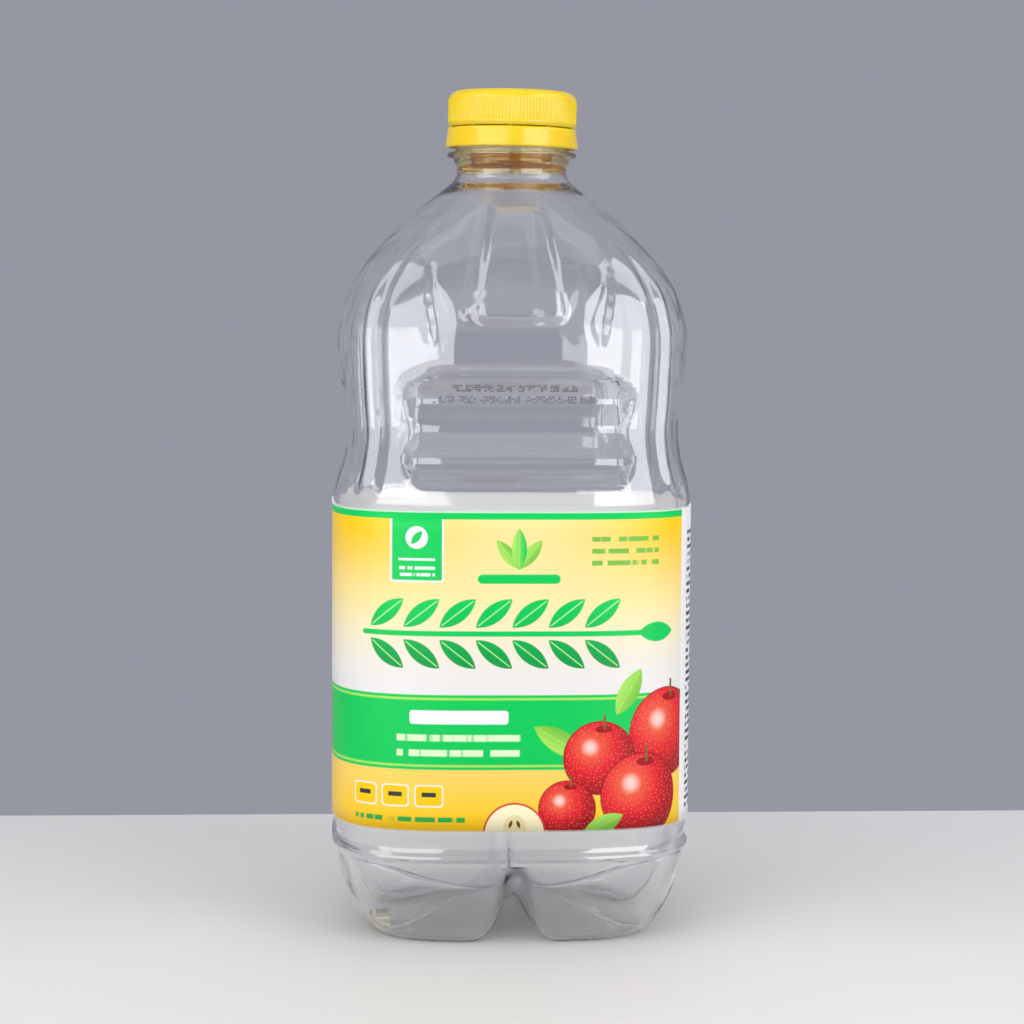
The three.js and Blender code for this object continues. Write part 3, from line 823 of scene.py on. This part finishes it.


# the label's white back has a painted glow: a little emission that stands in for the light that comes
# through the film
def backMaterial():
    g = Graph("whiteFilmBackPaintedGlow")
    tone = g.objectNoise(scale=50.0, detail=3.0)
    colour = g.mixColour(tone, (0.92, 0.92, 0.91), (0.95, 0.95, 0.94))
    return g.finish(g.add("BsdfPrincipled", {}, {
        # painted glow: the white back emits light though it is no lamp
        "Base Color": colour, "Roughness": 0.5, "Emission Color": (0.95, 0.95, 0.97, 1),
        "Emission Strength": 0.3}))


def inkMaterial():
    g = Graph("greyInk")
    worn = g.objectNoise(scale=900.0, detail=2.0)
    colour = g.mixColour(worn, (0.05, 0.045, 0.05), (0.16, 0.15, 0.16))
    return g.finish(g.add("BsdfPrincipled", {}, {"Base Color": colour, "Roughness": 0.6}))


def dress(piece, *materials):
    piece.data.materials.clear()
    for material in materials:
        piece.data.materials.append(material)


print("materials")
clearPlastic = clearMaterial("clearBlownPlastic", plasticLook)
thinDrink = clearMaterial("thinDrink", drinkLook)
dress(bottle, clearPlastic)
dress(inkMarks, inkMaterial())
dress(residue, thinDrink)
yellow = yellowMaterial()
dress(cap, yellow)
dress(looseRing, yellow)
dress(sleeve, labelMaterial(), backMaterial())
# the print is on the faces that look out and the white back on the others
for face in sleeve.data.polygons:
    away = Vector((face.center.x, face.center.y * label["depthPull"], 0))
    face.material_index = 0 if face.normal.dot(away) > 0 else 1

# the camera: where the photograph was taken from, in mm and radians, with the focal length and the
# picture's width in pixels
camera = {"distance": 899.75, "height": 199.78, "turn": 0.063, "pitch": 0.0774, "roll": 0.0065,
          "aim": 0.00095, "focal": 2838.7, "picture": 1024, "sensor": 36, "near": 0.01, "far": 50}


def makeCamera():
    c = camera
    away = c["distance"]
    place = Vector((-math.sin(c["turn"]) * away, -math.cos(c["turn"]) * away, c["height"])) * mm
    heading = c["turn"] + c["aim"]
    level = math.cos(c["pitch"])
    forward = Vector((math.sin(heading) * level, math.cos(heading) * level, -math.sin(c["pitch"])))
    flat = Vector((math.cos(heading), -math.sin(heading), 0))
    upright = flat.cross(forward)
    right = flat * math.cos(c["roll"]) + upright * math.sin(c["roll"])
    up = upright * math.cos(c["roll"]) - flat * math.sin(c["roll"])
    data = bpy.data.cameras.new("camera")
    data.sensor_width = c["sensor"]
    data.lens = c["focal"] * c["sensor"] / c["picture"]
    data.clip_start, data.clip_end = c["near"], c["far"]
    made = bpy.data.objects.new("camera", data)
    bpy.context.scene.collection.objects.link(made)
    made.matrix_world = Matrix(((right.x, up.x, -forward.x, place.x), (right.y, up.y, -forward.y, place.y),
                                (right.z, up.z, -forward.z, place.z), (0, 0, 0, 1)))
    bpy.context.scene.camera = made


# a pale table top under soft lamps
studio = {
    "tableBack": 0.182, "tableFront": -1.3, "tableHalf": 1.5,
    "sky": (0.300, 0.308, 0.366), "skyStrength": 1.0,
    "tableTop": [(0.66, 0.65, 0.635), (0.70, 0.69, 0.675)],
    "tableThick": 0.03, "tableEdge": 0.003, "edgeSteps": 4,
}

# softboxes that only shine in what is glossy, and fills that only light what is matt: the turn round the
# bottle and the tip downwards in degrees, the height, distance and size in metres, and the power
lamps = {
    "left softbox": {"turn": -37.5, "tip": 0, "height": 0.29, "distance": 0.70, "size": (0.75, 0.56),
                     "power": 4.0},
    "right softbox": {"turn": 40.5, "tip": 0, "height": 0.29, "distance": 0.70, "size": (0.61, 0.56),
                      "power": 4.3},
    "left high softbox": {"turn": -72, "tip": 45, "height": 0.62, "distance": 0.5, "size": (0.35, 0.4),
                          "power": 1.0},
    "right high softbox": {"turn": 75, "tip": 45, "height": 0.62, "distance": 0.5, "size": (0.35, 0.4),
                           "power": 1.1},
    "top softbox": {"turn": 0, "tip": 90, "height": 0.85, "distance": 0.05, "size": (0.7, 0.5),
                    "power": 0.45},
    "left fill": {"turn": -29, "tip": 25, "height": 0.48, "distance": 0.70, "size": (0.48, 0.56),
                  "power": 2.1},
    "right fill": {"turn": 38, "tip": 25, "height": 0.48, "distance": 0.70, "size": (0.54, 0.56),
                   "power": 2.7},
    "far left fill": {"turn": -78, "tip": 0, "height": 0.32, "distance": 0.9, "size": (0.5, 0.6),
                      "power": 3.4},
    "far right fill": {"turn": 80, "tip": 0, "height": 0.32, "distance": 0.9, "size": (0.5, 0.6),
                       "power": 2.4},
    "high fill": {"turn": -15, "tip": 55, "height": 0.75, "distance": 0.45, "size": (0.8, 0.8),
                  "power": 2.4},
    "back fill": {"turn": 168, "tip": 0, "height": 0.80, "distance": 1.3, "size": (1.2, 0.8),
                  "power": 9.0},
}


# a lamp doesn't show straight through the clear plastic, but does in what that plastic reflects
def lampLight(data):
    data.use_nodes = True
    tree = data.node_tree
    path = tree.nodes.new("ShaderNodeLightPath")
    straight = tree.nodes.new("ShaderNodeMath")
    straight.operation = "SUBTRACT"
    straight.use_clamp = True
    strength = tree.nodes.new("ShaderNodeMath")
    strength.operation = "SUBTRACT"
    strength.inputs[0].default_value = 1
    tree.links.new(path.outputs["Is Transmission Ray"], straight.inputs[0])
    tree.links.new(path.outputs["Glossy Depth"], straight.inputs[1])
    tree.links.new(straight.outputs[0], strength.inputs[1])
    tree.links.new(strength.outputs[0], tree.nodes["Emission"].inputs["Strength"])


def makeTable():
    s = studio
    bpy.ops.object.select_all(action="DESELECT")
    deep = s["tableBack"] - s["tableFront"]
    middle = (0, (s["tableBack"] + s["tableFront"]) / 2, -s["tableThick"] / 2)
    bpy.ops.mesh.primitive_cube_add(size=1, location=middle)
    table = bpy.context.object
    table.name = "table"
    table.scale = (s["tableHalf"] * 2, deep, s["tableThick"])
    bpy.ops.object.transform_apply(location=True, rotation=False, scale=True)
    apply(table, "BEVEL", width=s["tableEdge"], segments=s["edgeSteps"])
    g = Graph("paleTableTop")
    tone = g.objectNoise(scale=5.0, detail=4.0)
    colour = g.mixColour(tone, *s["tableTop"])
    dress(table, g.finish(g.add("BsdfPrincipled", {}, {"Base Color": colour, "Roughness": 0.5})))


def makeSky():
    world = bpy.data.worlds.new("studio")
    world.use_nodes = True
    background = world.node_tree.nodes["Background"]
    background.inputs["Color"].default_value = (*studio["sky"], 1)
    background.inputs["Strength"].default_value = studio["skyStrength"]
    bpy.context.scene.world = world


def makeLamps():
    for name, lamp in lamps.items():
        data = bpy.data.lights.new(name, "AREA")
        data.shape, data.energy = "RECTANGLE", lamp["power"]
        data.size, data.size_y = lamp["size"]
        made = bpy.data.objects.new(name, data)
        bpy.context.scene.collection.objects.link(made)
        turn, away = lamp["turn"] * degree, lamp["distance"]
        made.location = (math.sin(turn) * away, -math.cos(turn) * away, lamp["height"])
        made.rotation_euler = (math.pi / 2 - lamp["tip"] * degree, 0, turn)
        made.visible_camera = False
        if "fill" in name:
            made.visible_glossy = made.visible_transmission = False
        else:
            made.visible_diffuse = False
            lampLight(data)


print("camera and lamps")
makeCamera()
makeTable()
makeSky()
makeLamps()
scene = bpy.context.scene
scene.view_settings.view_transform = "Standard"
scene.view_settings.look = "None"
scene.cycles.use_denoising = True
scene.cycles.max_bounces = 48
scene.cycles.transmission_bounces = 48
scene.cycles.glossy_bounces = 12
scene.cycles.transparent_max_bounces = 24
scene.cycles.caustics_refractive = False
scene.cycles.caustics_reflective = False

print("done")
